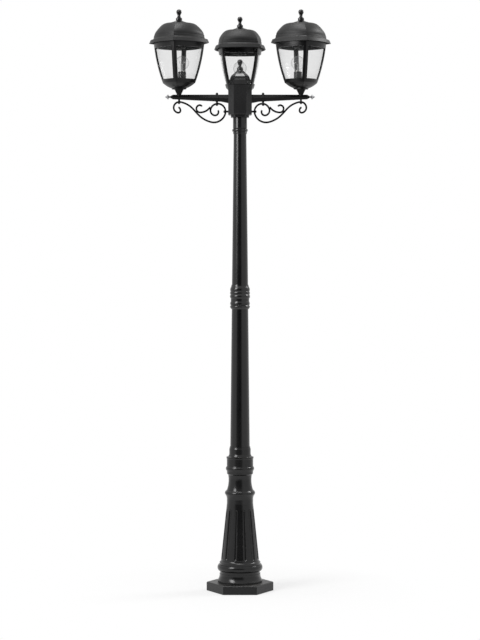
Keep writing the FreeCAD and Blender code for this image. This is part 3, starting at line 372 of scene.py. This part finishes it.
# ---- lamps ----
# Clear screw-in lamps: a rolled metal cap and a thin blown globe. Inside stands the glass stem with two supply
# wires, which hold a coiled wire between their ends.
CAP_TURN_SCALE = 110.0           # bands on the cap that read as its rolled thread
cap_metal = Paint("cap_metal", Metallic=1.0)
cap_turns = cap_metal.node("TexWave", "Fac", {"bands_direction": "Z"}, Vector=cap_metal.place(),
                           Scale=CAP_TURN_SCALE, Distortion=0.0)
cap_cloud = cap_metal.noise(220.0, 3.0)
cap_metal.shade(Base_Color=cap_metal.mix(cap_cloud, (0.60, 0.57, 0.50), (0.76, 0.74, 0.70)),
                Roughness=0.22 + cap_cloud * 0.2)
cap_metal.bump(cap_turns * 0.7 + cap_cloud * 0.05)
cap_metal.on(*each("lamp_cap"))
globe = Paint("lamp_glass", IOR=1.5, Specular_IOR_Level=0.7)
# Painted reflection: the globe's pale colour is nearly clear face on and grows opaque toward its outline, a
# light rim.
grained(globe, globe.noise(60.0), dark=(0.80, 0.81, 0.81), light=(0.88, 0.89, 0.89),
        rough=0.02, rough_gain=0.01, relief=0.01)
globe.shade(Alpha=0.05 + grazing(globe, 0.4, 3.5) * 0.6)
globe.on(*each("lamp_globe"))
stem_glass = Paint("stem_glass", IOR=1.5, Specular_IOR_Level=0.7)
# Painted highlight: the stem is pale and half opaque, more opaque toward its outline, standing in for light it
# catches.
grained(stem_glass, stem_glass.noise(200.0), dark=(0.88, 0.88, 0.88), light=(0.96, 0.96, 0.96),
        rough=0.04, rough_gain=0.03, relief=0.05)
stem_glass.shade(Alpha=0.35 + grazing(stem_glass, 0.5, 2.0) * 0.6)
wire_metal = Paint("lamp_wire", Metallic=1.0)
grained(wire_metal, wire_metal.noise(900.0), dark=(0.60, 0.59, 0.57), light=(0.84, 0.83, 0.80),
        rough=0.3, rough_gain=0.2, relief=0.03)


def turned_mesh(name, outline, steps=24):
    """Mesh of revolution about Z from (r, z) points."""
    mesh = bmesh.new()
    turns = [math.tau * i / steps for i in range(steps)]
    rows = [[mesh.verts.new((r * math.cos(turn), r * math.sin(turn), z)) for turn in turns] for r, z in outline]
    for low, high in zip(rows, rows[1:]):
        for i in range(steps):
            mesh.faces.new((low[i], low[(i + 1) % steps], high[(i + 1) % steps], high[i]))
    data = bpy.data.meshes.new(name)
    mesh.to_mesh(data)
    mesh.free()
    for face in data.polygons:
        face.use_smooth = True
    return bpy.data.objects.new(name, data)


def wire(name, points, radius):
    """Round wire through points, smooth between them."""
    curve = bpy.data.curves.new(name, "CURVE")
    curve.dimensions = "3D"
    curve.bevel_depth = radius
    curve.bevel_resolution = 3
    spline = curve.splines.new("NURBS")
    spline.points.add(len(points) - 1)
    for point, place in zip(spline.points, points):
        point.co = (*place, 1.0)
    spline.order_u = 3
    spline.use_endpoint_u = True
    curve.materials.append(wire_metal.material)
    return bpy.data.objects.new(name, curve)


# heights from the foot of the globe; outlines and routes are (distance from the axis, height)
STEM_FLARE_R = 0.0085
STEM_R = 0.0026
STEM_TIP = 0.030
STEM_OUTLINE = ((STEM_FLARE_R, 0.001), (STEM_R + 0.002, 0.006), (STEM_R, 0.011), (STEM_R, STEM_TIP - 0.003),
                (STEM_R + 0.0012, STEM_TIP - 0.001), (0.0004, STEM_TIP))
WIRE_R = 0.00035
COIL_Z = STEM_TIP + 0.008
COIL_R = 0.0105                  # the coiled wire follows half a ring of this radius
COIL_DEPTH = 0.7                 # the half ring's depth, as a share of its radius
COIL_TURN = 0.0007               # radius of one turn of the coil
COIL_TURNS = 22
COIL_STEPS = COIL_TURNS * 8
COIL_WIRE_R = WIRE_R * 0.6
SUPPORT_ROUTE = ((0.001, STEM_TIP - 0.012), (0.0016, STEM_TIP - 0.002), (COIL_R * 0.6, STEM_TIP + 0.001),
                 (COIL_R, COIL_Z - 0.003), (COIL_R, COIL_Z))

coil = []
for i in range(COIL_STEPS + 1):
    along = i / COIL_STEPS
    spin = math.tau * COIL_TURNS * along
    sweep = math.pi * (1.0 - along)
    reach = COIL_R + COIL_TURN * math.cos(spin)
    coil.append((reach * math.cos(sweep), reach * math.sin(sweep) * COIL_DEPTH,
                 COIL_Z + COIL_TURN * math.sin(spin)))
for side in SIDES:
    low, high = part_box("lamp_globe_" + side)
    middle = (low + high) / 2
    stem = turned_mesh("lamp_stem_" + side, STEM_OUTLINE)
    stem.data.materials.append(stem_glass.material)
    pieces = [stem]
    for mark, sign in (("a", -1), ("b", 1)):
        route = [(sign * x, 0, z) for x, z in SUPPORT_ROUTE]
        pieces.append(wire("lamp_support_%s_%s" % (mark, side), route, WIRE_R))
    pieces.append(wire("lamp_coil_" + side, coil, COIL_WIRE_R))
    for piece in pieces:
        bpy.context.scene.collection.objects.link(piece)
        piece.location = (middle.x, middle.y, low.z)
        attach(piece, "lamp_body_" + side)


# ---- floor ----
# A plain white studio floor under the post, as white as the room beyond its edges.
# It keeps the post's soft shadow close to the plate, and loses it further out.
BLACK = (0.0, 0.0, 0.0)
WHITE = (1.0, 1.0, 1.0)
FLOOR_SIZE = 2.2
FLOOR_DROP = 0.0005              # below the plate's underside
FLOOR_NEAR = 0.22                # from the post, where the soft shadow starts to fade
FLOOR_FAR = 0.75                 # where the floor is plain white
FLOOR_GLOW = 0.63                # the share of the near floor's white that no shadow takes away
floor_data = bpy.data.meshes.new("floor")
floor_data.from_pydata([(-FLOOR_SIZE, -FLOOR_SIZE, 0), (FLOOR_SIZE, -FLOOR_SIZE, 0),
                        (FLOOR_SIZE, FLOOR_SIZE, 0), (-FLOOR_SIZE, FLOOR_SIZE, 0)], [], [(0, 1, 2, 3)])
floor = bpy.data.objects.new("floor", floor_data)
bpy.context.scene.collection.objects.link(floor)
floor.location.z = -FLOOR_DROP
floor_paint = Paint("floor_paint", Specular_IOR_Level=0.0, Roughness=0.9, Emission_Strength=1.0)
camera_ray, glossy_ray, through_ray = (floor_paint.node("LightPath", "Is %s Ray" % kind)
                                       for kind in ("Camera", "Glossy", "Transmission"))
seen = (camera_ray + glossy_ray + through_ray).at_most(1.0)
distance = floor_paint.node("VectorMath", "Value", {"operation": "LENGTH"}, Vector=floor_paint.place())
far = distance.above(FLOOR_NEAR, FLOOR_FAR - FLOOR_NEAR)
floor_white = floor_paint.mix(floor_paint.noise(3.0), (0.30, 0.30, 0.30), (0.32, 0.32, 0.32))
floor_glow = seen * (FLOOR_GLOW + far * (1.0 - FLOOR_GLOW))
floor_paint.shade(Base_Color=floor_paint.mix(far * seen, floor_white, BLACK),
                  Emission_Color=floor_paint.mix(floor_glow, BLACK, WHITE))
floor_data.materials.append(floor_paint.material)


# ---- room ----
# A white room at a plain level. It has a dark opening on the front side, which only the coat's shine shows:
# that keeps the faces that look forward black.
ROOM_LEVEL = 0.5
SHINE_LEVEL = 0.8                # the walls, as the coat's shine shows them
OPENING_LEVEL = 0.03             # the dark opening, as the coat's shine shows it
OPENING_AZIMUTH = math.radians(-12)
OPENING_EDGE = 0.78              # cosine of its half width at the outer edge
OPENING_SOFTNESS = 0.13          # from there to where it is fully dark, in the same cosine
OPENING_TOP = 0.35               # sine of the height above which it fades
OPENING_FADE = 0.35
world = bpy.data.worlds.new("room")
bpy.context.scene.world = world
world.use_nodes = True
room = Nodes(world.node_tree)
room_light = room.tree.nodes["Background"]
room_light.inputs["Color"].default_value = (*WHITE, 1.0)
direction = room.node("TexCoord", "Generated")
x, y, z = (room.node("SeparateXYZ", axis, Vector=direction) for axis in "XYZ")
flat_square = 1.0 - z * z
flat = flat_square.math("SQRT", flat_square)
towards = (x * math.sin(OPENING_AZIMUTH) - y * math.cos(OPENING_AZIMUTH)) / (flat + 0.001)
opening = towards.above(OPENING_EDGE, OPENING_SOFTNESS) * (1.0 - z.above(OPENING_TOP, OPENING_FADE))
wall = SHINE_LEVEL - opening * (SHINE_LEVEL - OPENING_LEVEL)
glossy = room.node("LightPath", "Is Glossy Ray")
background = room.node("LightPath", "Is Camera Ray").at_least(room.node("LightPath", "Is Transmission Ray"))
shown = background.at_least(glossy * wall)
lighting = 1.0 - background.at_least(glossy)
plug(room.tree, room_light.inputs["Strength"], shown + lighting * ROOM_LEVEL)


# ---- lights and camera ----
# A tall key box at the front left, a small rim box at the back right and a bright one overhead, and the
# photo's long lens.
def soft_box(name, place, target, width, height, power):
    light = bpy.data.lights.new(name, "AREA")
    light.shape = "RECTANGLE"
    light.size = width
    light.size_y = height
    light.energy = power
    lamp = bpy.data.objects.new(name, light)
    lamp.location = place
    lamp.rotation_euler = (Vector(target) - Vector(place)).to_track_quat("-Z", "Y").to_euler()
    bpy.context.scene.collection.objects.link(lamp)


soft_box("box_key", place=(-2.75, -2.3, 3.15), target=(0, 0, 1.9), width=1.5, height=2.5, power=120.0)
soft_box("box_rim", place=(3.0, 1.25, 3.6), target=(0, 0, 0.9), width=1.0, height=1.0, power=55.0)
soft_box("box_top", place=(-0.3, -0.2, 4.6), target=(0, 0, 1.6), width=1.1, height=1.1, power=45.0)

CAMERA_BACK = 8.0
CAMERA_HEIGHT = 1.335
CAMERA_TILT = math.radians(1.78)
LENS = 112.5
SENSOR_WIDTH = 36.0
CLIP_FAR = 200.0
camera_data = bpy.data.cameras.new("camera")
camera_data.lens = LENS
camera_data.sensor_width = SENSOR_WIDTH
camera_data.clip_end = CLIP_FAR
camera = bpy.data.objects.new("camera", camera_data)
camera.location = (0.0, -CAMERA_BACK, CAMERA_HEIGHT)
camera.rotation_euler = (math.pi / 2 - CAMERA_TILT, 0.0, 0.0)
bpy.context.scene.collection.objects.link(camera)
bpy.context.scene.camera = camera
bpy.context.scene.view_settings.view_transform = "Standard"
